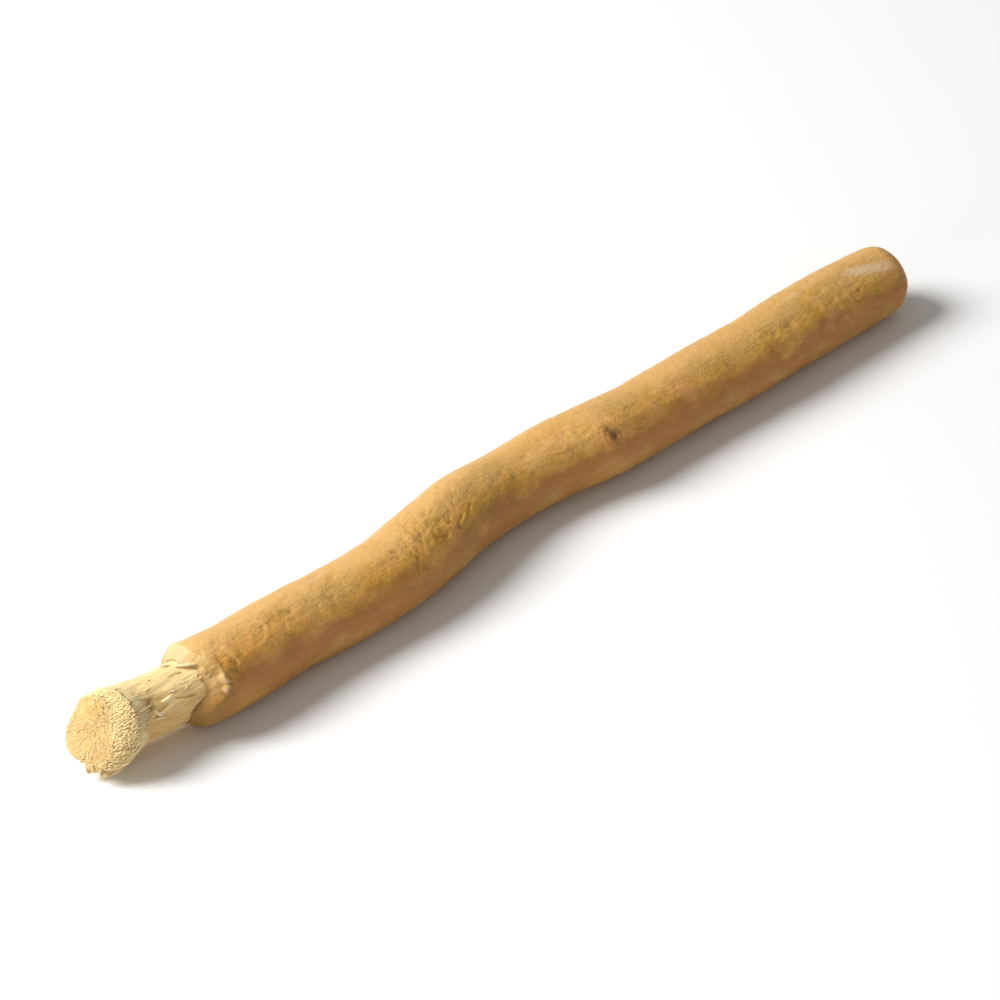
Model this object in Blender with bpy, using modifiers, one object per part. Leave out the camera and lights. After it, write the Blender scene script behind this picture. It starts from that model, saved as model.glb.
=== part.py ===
"""Miswak stick: a piece of toothbrush-tree root, lying on a table.

The bark is still on most of it. At one end the bark is cut away, and the pale wood under it is frayed
into a brush. The stick runs along X with the brush at -X and the cut end at +X, sideways is Y, and it
rests on Z = 0. The origin is under the middle of its box. Every length is in metres.
"""

import math
import random

import bmesh
import bpy
import numpy as np
from mathutils import Matrix, Vector

MM = 0.001

# Driving dimensions along the stick
BRUSH_TIP_X = -100.0 * MM
BRUSH_RIM_X = -91.8 * MM
FRAYED_FROM_X = -84.0 * MM
BARK_LIP_X = -77.2 * MM
BARK_MOUTH_X = -74.7 * MM
CUT_END_X = 100.0 * MM

# Bark
BARK_THICKNESS = 1.6 * MM
BARK_LIP_THICKNESS = 0.45 * MM
BARK_TO_WOOD = 0.3 * MM
END_ROUNDING = 6.8 * MM
MOUTH_REACH = 7.0 * MM
RING_SPACING = 2.6 * MM
INNER_RING_SPACING = 8.0 * MM
STEPS_AROUND = 42

# Where the root grew: along, sideways, radius over the bark, and how far its underside is off the table.
# A negative lift is a low point, which is worn to a flat spot that the stick rests on.
GROWTH = MM * np.array(
    (
        (-100.0, -0.54, 6.9, 0.2),
        (-88.0, -0.44, 6.9, 0.3),
        (-76.0, -1.64, 7.5, 0.1),
        (-66.0, -2.14, 7.3, 0.1),
        (-54.0, -1.64, 7.1, 0.12),
        (-44.0, -1.94, 7.1, -0.2),
        (-32.0, -2.14, 7.1, 0.12),
        (-20.0, -0.34, 7.3, 0.15),
        (-9.0, 1.96, 7.0, 0.12),
        (2.0, 2.76, 6.6, -0.2),
        (12.0, 2.06, 6.85, 0.12),
        (20.0, 0.66, 7.05, 0.15),
        (30.0, 0.06, 6.75, 0.25),
        (46.0, -0.04, 6.8, 0.2),
        (60.0, -0.44, 6.85, 0.2),
        (68.0, -0.14, 6.9, 0.12),
        (82.0, 0.26, 6.95, -0.2),
        (92.0, 0.06, 6.65, 0.12),
        (100.0, 0.26, 6.5, 0.2),
    )
)
ALONG, SIDEWAYS, RADIUS, LIFT = range(4)
UNDERSIDE = math.radians(270)

# The scar of a side root, on the side that the brush's hollow faces
KNOT_X = 20.5 * MM
KNOT_TURN = math.radians(139)
KNOT_SWELLING = (0.45 * MM, 5.0 * MM)
KNOT_PIT = (0.9 * MM, 1.5 * MM)

# Peeled neck and the body of the brush, as (along, radius) from the bark's mouth to the tip
NECK = MM * np.array(
    (
        (-76.2, 5.6),
        (-79.0, 5.4),
        (-82.0, 5.2),
        (-84.5, 5.15),
        (-87.0, 5.35),
        (-89.5, 5.55),
        (-91.5, 5.3),
        (-93.6, 4.7),
        (-95.4, 3.7),
        (-96.8, 2.2),
    )
)
BRUSH_BODY_TIP_X = -97.3 * MM
NECK_HOLLOW_X = -83.5 * MM
NECK_HOLLOW_TURN = math.radians(140)
NECK_HOLLOW_DEPTH = 0.6 * MM
NECK_HOLLOW_LENGTH = 4.2 * MM
NECK_HOLLOW_WIDTH = 1.9 * MM

# Bristles, in rings from the middle of the brush to its rim
BRUSH_RADIUS = 6.9 * MM
BRISTLE_ROOT_RADIUS = 4.15 * MM
BRISTLES_IN_RING = (1, 6, 12, 18, 24, 29, 33)
BRISTLE_HALF_WIDTH = (0.50 * MM, 0.43 * MM)
BRISTLE_SIDES = 4
BRISTLE_UNEVENNESS = 0.35 * MM
LONG_BRISTLES_TURN = math.radians(225)
LONG_BRISTLES_EXTRA = 1.3 * MM

# Splinters torn up from the neck, rooted towards the bark
SPLINTER_COUNT = 11
SPLINTER_HALF_WIDTH = (0.75 * MM, 0.43 * MM)
SPLINTER_ROOT_X = (-81.4 * MM, -79.2 * MM)
SPLINTER_LENGTH = (3.6 * MM, 6.4 * MM)
SPLINTER_SUNK = 0.75 * MM
SPLINTER_RISE = (0.25 * MM, 0.75 * MM)
GOLDEN_TURN = math.pi * (3 - math.sqrt(5))

BARK_COLOUR = (0.62, 0.37, 0.135, 1.0)
WOOD_COLOUR = (0.84, 0.66, 0.34, 1.0)


def on_curve(stations, column, along):
    """One column of the stations at these places along, on a smooth curve through them (cubic Hermite)."""
    x, y = stations[:, ALONG], stations[:, column]
    slope = np.gradient(y, x)
    along = np.clip(along, x[0], x[-1])
    i = np.clip(np.searchsorted(x, along) - 1, 0, len(x) - 2)
    width = x[i + 1] - x[i]
    t = (along - x[i]) / width
    return (
        (2 * t**3 - 3 * t**2 + 1) * y[i]
        + (t**3 - 2 * t**2 + t) * width * slope[i]
        + (3 * t**2 - 2 * t**3) * y[i + 1]
        + (t**3 - t**2) * width * slope[i + 1]
    )


def bark_radius(along):
    return on_curve(GROWTH, RADIUS, along)


def turn_between(turn, other):
    """The angle from other to turn, between half a turn each way."""
    return (turn - other + math.pi) % (2 * math.pi) - math.pi


def swell(along, turn):
    """How much wider or narrower than round the root grew: oval, three-sided and slightly fluted."""
    return (
        1
        + 0.016 * np.cos(2 * turn - 0.8 - 18 * along)
        + 0.010 * np.cos(3 * turn + 1.0 + 31 * along)
        + 0.007 * np.cos(5 * turn + 2.0 * np.sin(40 * along))
        + 0.006 * np.cos(8 * turn + 1.5 * np.sin(65 * along + 1))
    )


def grown(along, radius, turn):
    """The point of the bent root at this place along it, distance from its axis and angle around it."""
    underside = bark_radius(along) * swell(along, UNDERSIDE)
    height = underside + on_curve(GROWTH, LIFT, along)
    reach = radius * swell(along, turn)
    sideways = on_curve(GROWTH, SIDEWAYS, along) + reach * np.cos(turn)
    return np.stack((along, sideways, height + reach * np.sin(turn)), axis=-1)


def knot(along, turn):
    """The height of the scar over the bark: a swelling with a pit in it."""
    distance = np.hypot(
        along - KNOT_X, bark_radius(along) * turn_between(turn, KNOT_TURN)
    )
    rise, sink = (
        height * np.exp(-((distance / width) ** 2))
        for height, width in (KNOT_SWELLING, KNOT_PIT)
    )
    return rise - sink


def mouth_edge(turn):
    """How far the cut edge of the bark reaches towards the brush past its even line: ragged, with a tongue."""
    tongue = np.exp(-((turn_between(turn, math.radians(108)) / 0.22) ** 2))
    notch = np.exp(-((turn_between(turn, math.radians(158)) / 0.34) ** 2))
    low_side = np.exp(-((turn_between(turn, math.radians(215)) / 0.55) ** 2))
    top_side = np.exp(-((turn_between(turn, math.radians(50)) / 0.60) ** 2))
    return MM * (
        1.0 * tongue
        - 1.7 * notch
        + 0.6 * low_side
        - 0.9 * top_side
        + 0.25 * np.sin(5 * turn + 0.7)
        + 0.20 * np.sin(9 * turn + 2.0)
    )


def bark_shape(along, radius, turn):
    """Bends the turned bark: lumps and the scar outside, a ragged mouth, and flat spots underneath."""
    outside = radius > bark_radius(along) - BARK_THICKNESS / 2
    share = np.clip((along - BARK_LIP_X) / MOUTH_REACH, 0, 1)
    near_mouth = 1 - share * share * (3 - 2 * share)
    radius = radius + np.where(outside, knot(along, turn), 0)
    points = grown(along - mouth_edge(turn) * near_mouth, radius, turn)
    points[outside, 2] = np.maximum(points[outside, 2], 0)
    return points


def neck_hollow(along, turn):
    """The depth of the hollow torn into the neck behind the brush."""
    across = bark_radius(along) * turn_between(turn, NECK_HOLLOW_TURN)
    lengthwise = (along - NECK_HOLLOW_X) / NECK_HOLLOW_LENGTH
    return NECK_HOLLOW_DEPTH * np.exp(
        -(lengthwise**2) - (across / NECK_HOLLOW_WIDTH) ** 2
    )


def wood_shape(along, radius, turn):
    """Bends the turned wood: the peeled neck is torn into flutes, and smooth where the bark covers it."""
    share = np.clip((BARK_LIP_X - along) / (2 * MM), 0, 1)
    flutes = 0.22 * MM * np.cos(6 * turn + 3 * np.sin(300 * along))
    flutes = flutes + 0.14 * MM * np.cos(11 * turn + 500 * along)
    torn = share * (flutes - neck_hollow(along, turn))
    return grown(along, radius + torn * np.minimum(1, radius / (3 * MM)), turn)


def bake(piece):
    """Replaces a mesh by what its modifiers make of it."""
    bpy.context.view_layer.update()
    evaluated = piece.evaluated_get(bpy.context.evaluated_depsgraph_get())
    made = bpy.data.meshes.new_from_object(evaluated)
    piece.modifiers.clear()
    piece.data = made


def turned(name, outline, closed, collection):
    """A round piece turned about Z from (along, radius) points, listed from the cut end down its outside."""
    ends = [(i, i + 1) for i in range(len(outline) - 1)]
    if closed:
        ends.append((len(outline) - 1, 0))
    mesh = bpy.data.meshes.new(name)
    mesh.from_pydata([(radius, 0, along) for along, radius in outline], ends, [])
    piece = bpy.data.objects.new(name, mesh)
    collection.objects.link(piece)
    screw = piece.modifiers.new("turn", "SCREW")
    screw.axis = "Z"
    screw.steps = screw.render_steps = STEPS_AROUND
    screw.use_merge_vertices = True
    screw.merge_threshold = 1e-6
    bake(piece)
    work = bmesh.new()
    work.from_mesh(piece.data)
    bmesh.ops.remove_doubles(work, verts=work.verts, dist=1e-6)
    work.to_mesh(piece.data)
    work.free()
    return piece


def grow(piece, shape):
    """Moves every point of a turned piece from its straight place to where the root grew."""
    vertices = piece.data.vertices
    points = np.empty(len(vertices) * 3)
    vertices.foreach_get("co", points)
    across, up, along = points.reshape(-1, 3).T
    grown_points = shape(along, np.hypot(across, up), np.arctan2(up, across))
    vertices.foreach_set("co", grown_points.ravel())
    piece.data.update()


def rings(first, last, spacing):
    """Evenly spaced places along the stick, both ends included."""
    return np.linspace(first, last, max(2, round(abs(last - first) / spacing) + 1))


def end_radius(along):
    """The radius of the worn, rounded cut end at this place along it."""
    share = (along - (CUT_END_X - END_ROUNDING)) / END_ROUNDING
    return bark_radius(CUT_END_X - END_ROUNDING) * np.sqrt(1 - share**2)


def end_reach(radius):
    """Where the rounded cut end has worn down to this radius."""
    share = radius / bark_radius(CUT_END_X - END_ROUNDING)
    return CUT_END_X - END_ROUNDING + END_ROUNDING * math.sqrt(1 - share**2)


def inner_rings(last):
    """Where the bark's inner wall and the wood under it have their rings, from the mouth to the cut end."""
    return np.append(
        rings(BARK_MOUTH_X, CUT_END_X - END_ROUNDING, INNER_RING_SPACING), last
    )


def bark_outline():
    """The bark's section: the worn cut end, down its outside, a bevelled mouth, and back up its inside."""
    shoulder_x = CUT_END_X - END_ROUNDING
    end_bore = bark_radius(shoulder_x) - BARK_THICKNESS
    end_x = end_reach(end_bore + BARK_LIP_THICKNESS)
    worn = [
        (x, end_radius(x)) for x in np.linspace(end_x, shoulder_x, 6, endpoint=False)
    ]
    plain = rings(shoulder_x, BARK_MOUTH_X, RING_SPACING)
    plain = plain[np.abs(plain - KNOT_X) > 1.5 * KNOT_PIT[1]]
    knot_rings = KNOT_X + np.arange(-2, 3) * KNOT_PIT[1] / 2
    places = np.sort(np.concatenate((plain, knot_rings)))[::-1]
    outside = [(x, bark_radius(x)) for x in places]
    mouth_bore = bark_radius(BARK_MOUTH_X) - BARK_THICKNESS
    bevel = [
        (BARK_MOUTH_X - 0.5 * MM, bark_radius(BARK_MOUTH_X) - 0.2 * MM),
        (BARK_LIP_X, mouth_bore + BARK_LIP_THICKNESS),
        (BARK_LIP_X + 0.1 * MM, mouth_bore),
    ]
    inside = [(x, bark_radius(x) - BARK_THICKNESS) for x in inner_rings(shoulder_x)]
    return worn + outside + bevel + inside[:-1] + [(end_x - 0.2 * MM, end_bore)]


def wood_outline():
    """The wood's section: from the middle of the cut end, under the bark, along the neck to the brush."""
    cover = BARK_THICKNESS + BARK_TO_WOOD
    shoulder_x = CUT_END_X - END_ROUNDING
    core = bark_radius(shoulder_x) - cover
    cut_end = [(CUT_END_X, 0)]
    cut_end += [(end_reach(core * share), core * share) for share in (0.35, 0.7, 0.92)]
    cut_end += [(end_reach(core) - 0.35 * MM, core)]
    covered = [(x, bark_radius(x) - cover) for x in inner_rings(shoulder_x)[-2::-1]]
    return (
        cut_end + covered + [tuple(point) for point in NECK] + [(BRUSH_BODY_TIP_X, 0)]
    )


def spike(name, root, tip, half_widths, collection):
    """A tapered four-sided rod from its root to its tip, for one bristle or splinter."""
    direction = tip - root
    place = Matrix.Translation((root + tip) / 2)
    work = bmesh.new()
    bmesh.ops.create_cone(
        work,
        cap_ends=True,
        segments=BRISTLE_SIDES,
        radius1=half_widths[0],
        radius2=half_widths[1],
        depth=direction.length,
        matrix=place @ direction.to_track_quat("Z", "Y").to_matrix().to_4x4(),
    )
    mesh = bpy.data.meshes.new(name)
    work.to_mesh(mesh)
    work.free()
    collection.objects.link(bpy.data.objects.new(name, mesh))


def point_at(along, radius, turn):
    """One point of the bent root, as a Vector."""
    return Vector(grown(np.array(along), np.array(radius), np.array(turn)))


def add_bristles(collection, draw):
    """Rings of bristles that spread from inside the neck, with their tips on the brush's domed end."""
    last_ring = len(BRISTLES_IN_RING) - 1
    for ring, count in enumerate(BRISTLES_IN_RING):
        share = ring / last_ring
        for i in range(count):
            turn = 2 * math.pi * i / count + ring * GOLDEN_TURN
            hang = math.exp(-((turn_between(turn, LONG_BRISTLES_TURN) / 0.5) ** 2))
            dome = (BRUSH_RIM_X - BRUSH_TIP_X) * math.sqrt(1 - 0.98 * share**2)
            tip_x = BRUSH_RIM_X - dome - LONG_BRISTLES_EXTRA * hang * share**3
            uneven = abs(draw.gauss(0, BRISTLE_UNEVENNESS)) * min(ring, 1)
            tip_x = max(tip_x + uneven, BRUSH_TIP_X)
            tip_radius = (
                BRUSH_RADIUS - BRISTLE_HALF_WIDTH[1]
            ) * share + draw.uniform(-0.12, 0.12) * MM
            tip_turn = turn + draw.uniform(-0.03, 0.03)
            spike(
                f"bristle_{ring}_{i}",
                point_at(FRAYED_FROM_X, BRISTLE_ROOT_RADIUS * share, turn),
                point_at(tip_x, abs(tip_radius), tip_turn),
                BRISTLE_HALF_WIDTH,
                collection,
            )


def add_splinters(collection, draw):
    """Splinters that lie along the neck, with their free tips lifted towards the brush."""
    for i in range(SPLINTER_COUNT):
        turn = NECK_HOLLOW_TURN + 0.35 + i * GOLDEN_TURN
        root_x = draw.uniform(*SPLINTER_ROOT_X)
        tip_x = root_x - draw.uniform(*SPLINTER_LENGTH)
        rise = draw.uniform(*SPLINTER_RISE)
        root_radius, tip_radius = np.interp((root_x, tip_x), *NECK[::-1].T)
        hollow = neck_hollow(tip_x, turn)
        spike(
            f"splinter_{i}",
            point_at(root_x, root_radius - SPLINTER_SUNK, turn),
            point_at(
                tip_x, tip_radius - hollow + rise, turn + draw.uniform(-0.12, 0.12)
            ),
            SPLINTER_HALF_WIDTH,
            collection,
        )


def join_fibres(wood, fibres):
    """Fuses the bristles and splinters into the wood that they grow from."""
    union = wood.modifiers.new("fibres", "BOOLEAN")
    union.operation = "UNION"
    union.operand_type = "COLLECTION"
    union.collection = fibres
    union.solver = "EXACT"
    bake(wood)
    for fibre in list(fibres.objects):
        bpy.data.objects.remove(fibre)
    bpy.data.collections.remove(fibres)


def material(name, colour, roughness):
    made = bpy.data.materials.new(name)
    made.use_nodes = True
    shader = made.node_tree.nodes["Principled BSDF"]
    shader.inputs["Base Color"].default_value = colour
    shader.inputs["Roughness"].default_value = roughness
    shader.inputs["Metallic"].default_value = 0.0
    made.diffuse_color = colour
    return made


def dress(piece, finish, sharp_from):
    piece.data.materials.clear()
    piece.data.materials.append(finish)
    piece.data.shade_smooth()
    piece.data.set_sharp_from_angle(angle=math.radians(sharp_from))


def make_bark(collection):
    """The sleeve of bark, which was cut back in a ragged bevel to bare the wood."""
    bark = turned("bark", bark_outline(), True, collection)
    grow(bark, bark_shape)
    dress(bark, material("bark", BARK_COLOUR, 0.72), 40)
    return bark


def make_wood(collection):
    """The pale wood, which runs through the bark and out of it to end in the brush."""
    wood = turned("wood", wood_outline(), False, collection)
    grow(wood, wood_shape)
    fibres = bpy.data.collections.new("fibres")
    bpy.context.scene.collection.children.link(fibres)
    draw = random.Random(7)
    add_bristles(fibres, draw)
    add_splinters(fibres, draw)
    join_fibres(wood, fibres)
    dress(wood, material("wood", WOOD_COLOUR, 0.85), 30)
    return wood


def main():
    for leftover in list(bpy.data.objects):
        bpy.data.objects.remove(leftover)
    stick = bpy.data.collections.new("miswak_stick")
    bpy.context.scene.collection.children.link(stick)
    holder = bpy.data.objects.new("miswak_stick", None)
    stick.objects.link(holder)
    for piece in (make_bark(stick), make_wood(stick)):
        piece.parent = holder


main()
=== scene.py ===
"""The looks of a miswak stick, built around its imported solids.

It is a length of toothbrush-tree root that lies on a table. The golden bark is on most of it. At one end
the bark is cut back, and the pale wood is frayed into a brush. The stick runs along X with the brush at
-X and the cut end at +X. Sideways is Y, and it rests on Z = 0. Lengths are in metres, unless a comment
gives them in mm, and turns go round the stick from +Y by way of its top.
"""

import math

import bpy
import numpy as np
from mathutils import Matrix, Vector


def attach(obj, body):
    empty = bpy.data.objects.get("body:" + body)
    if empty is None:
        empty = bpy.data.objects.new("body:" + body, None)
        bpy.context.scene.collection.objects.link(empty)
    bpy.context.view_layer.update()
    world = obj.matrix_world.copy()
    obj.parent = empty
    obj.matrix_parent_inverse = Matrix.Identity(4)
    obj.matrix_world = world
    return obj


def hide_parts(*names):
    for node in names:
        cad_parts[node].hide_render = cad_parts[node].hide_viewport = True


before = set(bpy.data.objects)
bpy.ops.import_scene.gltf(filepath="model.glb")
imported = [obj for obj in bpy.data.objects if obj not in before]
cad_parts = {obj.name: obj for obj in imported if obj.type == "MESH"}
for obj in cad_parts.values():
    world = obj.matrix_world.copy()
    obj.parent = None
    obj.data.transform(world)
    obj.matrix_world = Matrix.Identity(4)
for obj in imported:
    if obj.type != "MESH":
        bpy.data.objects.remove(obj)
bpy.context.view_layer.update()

# The wood of the root
# It grew as one pale, fibrous core, a little bent and swollen along its length. The bark covers most of it.
# It is bare where the bark was cut back, at the torn neck behind the brush, and on the worn cut end.

MM = 0.001
DEGREE = math.pi / 180
BRUSH_TIP_X = -100.0 * MM
BARK_LIP_X = -77.2 * MM
CUT_END_X = 99.2 * MM
END_ROUNDING = 5.0 * MM
BARK_THICKNESS = 1.6 * MM
WOOD_COVER = BARK_THICKNESS + 0.3 * MM

# Where the root grew, in mm: along, sideways, radius over the bark, and its underside's height off the table
GROWTH = MM * np.array([
    (-100, -0.54, 6.9, 0.2),
    (-88, -0.44, 6.9, 0.3),
    (-76, -1.64, 7.5, 0.1),
    (-66, -2.14, 7.3, 0.1),
    (-54, -1.64, 7.1, 0.12),
    (-44, -1.94, 7.1, -0.2),
    (-32, -2.14, 7.1, 0.12),
    (-20, -0.34, 7.3, 0.15),
    (-9, 1.96, 7, 0.12),
    (2, 2.76, 6.6, -0.2),
    (12, 2.06, 6.85, 0.12),
    (20, 0.66, 7.05, 0.15),
    (30, 0.06, 6.75, 0.25),
    (46, -0.04, 6.8, 0.2),
    (60, -0.44, 6.85, 0.2),
    (68, -0.14, 6.9, 0.12),
    (82, 0.26, 6.95, -0.2),
    (92, 0.06, 6.6, 0.12),
    (100, 0.26, 6.3, 0.2),
])
ALONG, SIDEWAYS, RADIUS, LIFT = range(4)
UNDERSIDE = 270 * DEGREE

# The peeled neck, and the solid wood that carries the brush's fibres, in mm: along and radius
NECK = MM * np.array([
    (-94.8, 0.3), (-94.7, 3), (-94.6, 4.6), (-94.3, 5.2), (-93.7, 5.75), (-92.9, 6.1),
    (-91.9, 6.25), (-91, 6.2), (-90, 6), (-89, 5.8), (-87.8, 5.6), (-86, 5.35), (-84, 5.3),
    (-82, 5.25), (-80, 5.2), (-78, 5.15), (-76.2, 5.3),
])
NECK_END_X = -77.0 * MM
INTO_BARK = 6.0 * MM

# The brush's end slopes: its plane crosses the axis here, and leans back this much for each metre of height
FACE_X = -95.4 * MM
FACE_SLOPE = 0.50
FACE_TOWARD = 9 * DEGREE
SLOPE_FROM_X = -86.5 * MM

# The cut edge of the bark: turn in degrees, place along, length of its bevel and thickness left at its lip in
# mm, and how much of the bevel still wears bark
MOUTH = (
    (0, -77.4, 2.4, 0.1, 0.7),
    (30, -76.8, 2.4, 0.2, 0.3),
    (57, -76.7, 2.4, 0.3, 0.1),
    (75, -76.9, 2.2, 0.25, 0.1),
    (88, -76.8, 1.8, 0.2, 0.5),
    (102, -76.3, 2, 0.15, 0.8),
    (115, -75.9, 2.8, 0.1, 0.6),
    (127, -76, 3.8, 0.08, 0.3),
    (145, -76.3, 4.6, 0.08, 0.3),
    (160, -76.6, 4.6, 0.08, 0.6),
    (168, -77.2, 4, 0.08, 0.9),
    (176, -78.5, 2.8, 0.1, 1),
    (188, -79.4, 2.4, 0.12, 1),
    (205, -79.4, 2.8, 0.1, 1),
    (224, -79.1, 3.2, 0.1, 1),
    (250, -78.6, 2.6, 0.1, 0.8),
    (285, -77.6, 2, 0.2, 0.6),
    (325, -77.2, 2, 0.2, 0.6),
)


def on_curve(stations, column, along):
    """One column of the stations at these places along, on a smooth curve through them (cubic Hermite)."""
    x, y = stations[:, ALONG], stations[:, column]
    slope = np.gradient(y, x)
    along = np.clip(along, x[0], x[-1])
    i = np.clip(np.searchsorted(x, along) - 1, 0, len(x) - 2)
    width = x[i + 1] - x[i]
    t = (along - x[i]) / width
    return (
        (2 * t**3 - 3 * t**2 + 1) * y[i]
        + (t**3 - 2 * t**2 + t) * width * slope[i]
        + (3 * t**2 - 2 * t**3) * y[i + 1]
        + (t**3 - t**2) * width * slope[i + 1]
    )


def bark_radius(along):
    """The even radius over the bark, on the smooth curve of the root's growth."""
    return on_curve(GROWTH, RADIUS, along)


def turn_between(turn, other):
    """The angle from other to turn, between half a turn each way."""
    return (turn - other + math.pi) % (2 * math.pi) - math.pi


def swell(along, turn):
    """How much wider than round the root grew: a sum of cosines around it that drift along it."""
    return (
        1
        + 0.016 * np.cos(2 * turn - 0.8 - 18 * along)
        + 0.010 * np.cos(3 * turn + 1.0 + 31 * along)
        + 0.007 * np.cos(5 * turn + 2.0 * np.sin(40 * along))
        + 0.006 * np.cos(8 * turn + 1.5 * np.sin(65 * along + 1))
    )


def grown(along, radius, turn):
    """The point of the bent root: its axis at this place, plus the swollen radius turned around X."""
    underside = bark_radius(along) * swell(along, UNDERSIDE)
    height = underside + on_curve(GROWTH, LIFT, along)
    reach = radius * swell(along, turn)
    sideways = on_curve(GROWTH, SIDEWAYS, along) + reach * np.cos(turn)
    return np.stack((along, sideways, height + reach * np.sin(turn)), axis=-1)


def rounded(share):
    """A smooth step: 0 up to 0, 1 from 1, and level at both ends (a cubic)."""
    share = np.clip(share, 0, 1)
    return share * share * (3 - 2 * share)


def bell(distance, width, power=2):
    """1 in the middle and 0 well past the width: e to minus the distance over the width, to a power."""
    return np.exp(-((distance / width) ** power))


def sloped(along, radius, turn):
    """The place along, moved back at the top and forward at the bottom, more and more towards the brush."""
    share = rounded((SLOPE_FROM_X - along) / (SLOPE_FROM_X - FACE_X))
    return along + share * FACE_SLOPE * radius * np.sin(turn - FACE_TOWARD)


def unevenness(along, turn, cell, number, seed):
    """Smooth random heights, about -1 to 1, on cells of this length and with this number round the stick.

    Each corner of a cell has a random slope, and the height is those slopes blended with a fifth-power step.
    """
    draw = np.random.default_rng(seed)
    u = turn / (2 * math.pi) * number
    v = (along + 0.11) / cell
    i, j = np.floor(u).astype(int), np.floor(v).astype(int)
    j0 = j.min()
    heading = draw.uniform(0, 2 * math.pi, (j.max() - j0 + 2, number))
    fade_u, fade_v = (t * t * t * (t * (6 * t - 15) + 10) for t in (u - i, v - j))
    total = np.zeros(np.broadcast(u, v).shape)
    for di, share_u in ((0, 1 - fade_u), (1, fade_u)):
        for dj, share_v in ((0, 1 - fade_v), (1, fade_v)):
            angle = heading[j - j0 + dj, (i + di) % number]
            slope = np.cos(angle) * (u - i - di) + np.sin(angle) * (v - j - dj)
            total += slope * share_u * share_v
    return 1.5 * total


def layered(along, turn, cell, number, seed, layers=3):
    """Unevenness at several scales: each layer has cells half as large and heights half as high."""
    total = 0
    for k in range(layers):
        finer = unevenness(along, turn, cell / 2**k, number * 2**k, seed + 17 * k)
        total = total + 0.5**k * finer
    return total


def creases(along, turn, cell, number, seed, width):
    """1 in the bottom of narrow winding creases: a bell where smooth unevenness passes through 0."""
    return bell(unevenness(along, turn, cell, number, seed), width)


def by_turn(table, column, turn):
    """One column of a table whose rows go round by degrees, on a smooth closed curve through them."""
    rows = np.array([(row[0] + lap, *row[1:]) for lap in (-360, 0, 360) for row in table])
    return on_curve(rows, column, np.degrees(turn) % 360)


def mouth_edge(turn):
    """How far the cut edge of the bark reaches towards the brush past its even line."""
    return BARK_LIP_X - MM * by_turn(MOUTH, 1, turn)


def wood_radius(along):
    """The even radius of the wood: the neck's profile where it is bare, and the bark's less its cover."""
    covered = bark_radius(along) - WOOD_COVER
    neck = np.interp(along, *NECK.T)
    return neck + rounded((along - NECK_END_X) / INTO_BARK) * (covered - neck)


def away_from(along, turn, middle, toward):
    """How far along and how far around the surface a place is from a middle."""
    return along - middle, bark_radius(along) * turn_between(turn, toward)


def wrinkle(along, turn, row):
    """1 along a wrinkle's line, a shallow parabola between its ends, fading across it and at its ends."""
    start, start_turn, end, end_turn, bow, width, _ = row
    x, y = away_from(along, turn, start * MM, start_turn * DEGREE)
    run = (end - start) * MM
    climb = bark_radius(start * MM) * (end_turn - start_turn) * DEGREE
    length = math.hypot(run, climb)
    gone = (x * run + y * climb) / length**2
    aside = (y * run - x * climb) / length - 4 * bow * MM * gone * (1 - gone)
    ends = rounded(gone / 0.25 + 0.2) * rounded((1 - gone) / 0.25 + 0.2)
    return bell(aside, width * MM) * ends


def end_reach(radius):
    """Where the rounded cut end has worn down to this radius: a point on an ellipse."""
    share = radius / bark_radius(CUT_END_X - END_ROUNDING)
    return CUT_END_X - END_ROUNDING + END_ROUNDING * np.sqrt(1 - share**2)


def skin(name, points, closing, straight, tones):
    """A closed mesh from rings of points, given as an array of ring, step round it and xyz.

    The rings run so that their faces point outwards. The ends are joined ("ring to ring"), or each is closed
    by a fan to its middle point ("capped"). `straight` is where each point would be on a stick that grew
    straight, so that patterns follow the bends, and the tones are numbers for its points.
    """
    rings, steps = points.shape[:2]
    index = np.arange(rings * steps).reshape(rings, steps)
    ahead = np.roll(index, -1, axis=1)
    onward, across = np.roll(index, -1, axis=0), np.roll(ahead, -1, axis=0)
    quads = np.stack((index, ahead, across, onward), axis=-1)
    places, grown_straight = points.reshape(-1, 3), straight.reshape(-1, 3)
    numbers = {tone: np.broadcast_to(value, index.shape).reshape(-1) for tone, value in tones.items()}
    if closing == "ring to ring":
        faces = quads.reshape(-1, 4).tolist()
    else:
        first, last = np.full((2, steps), ((rings * steps,), (rings * steps + 1,)))
        faces = quads[:-1].reshape(-1, 4).tolist()
        faces += np.stack((first, ahead[0], index[0]), axis=-1).tolist()
        faces += np.stack((last, index[-1], ahead[-1]), axis=-1).tolist()
        places = np.concatenate((places, points[[0, -1]].mean(axis=1)))
        grown_straight = np.concatenate((grown_straight, straight[[0, -1]].mean(axis=1)))
        numbers = {tone: np.append(value, (value[0], value[-1])) for tone, value in numbers.items()}
    return linked_mesh(name, places, faces, grown_straight, numbers)


def linked_mesh(name, places, faces, straight, tones):
    """An object with this smooth mesh, which keeps `straight` and the tones as attributes of its points."""
    mesh = bpy.data.meshes.new(name)
    mesh.from_pydata(places.tolist(), [], faces)
    kept = mesh.attributes.new("straight", "FLOAT_VECTOR", "POINT")
    kept.data.foreach_set("vector", straight.reshape(-1).astype(np.float32))
    for tone, value in tones.items():
        kept = mesh.attributes.new(tone, "FLOAT", "POINT")
        kept.data.foreach_set("value", value.reshape(-1).astype(np.float32))
    mesh.shade_smooth()
    piece = bpy.data.objects.new(name, mesh)
    bpy.context.scene.collection.objects.link(piece)
    return piece


def straight_places(along, radius, turn):
    """The same point on a stick that grew straight: its place along, and its radius turned around X."""
    there = np.broadcast_arrays(along, radius * np.cos(turn), radius * np.sin(turn))
    return np.stack(there, axis=-1)


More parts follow.
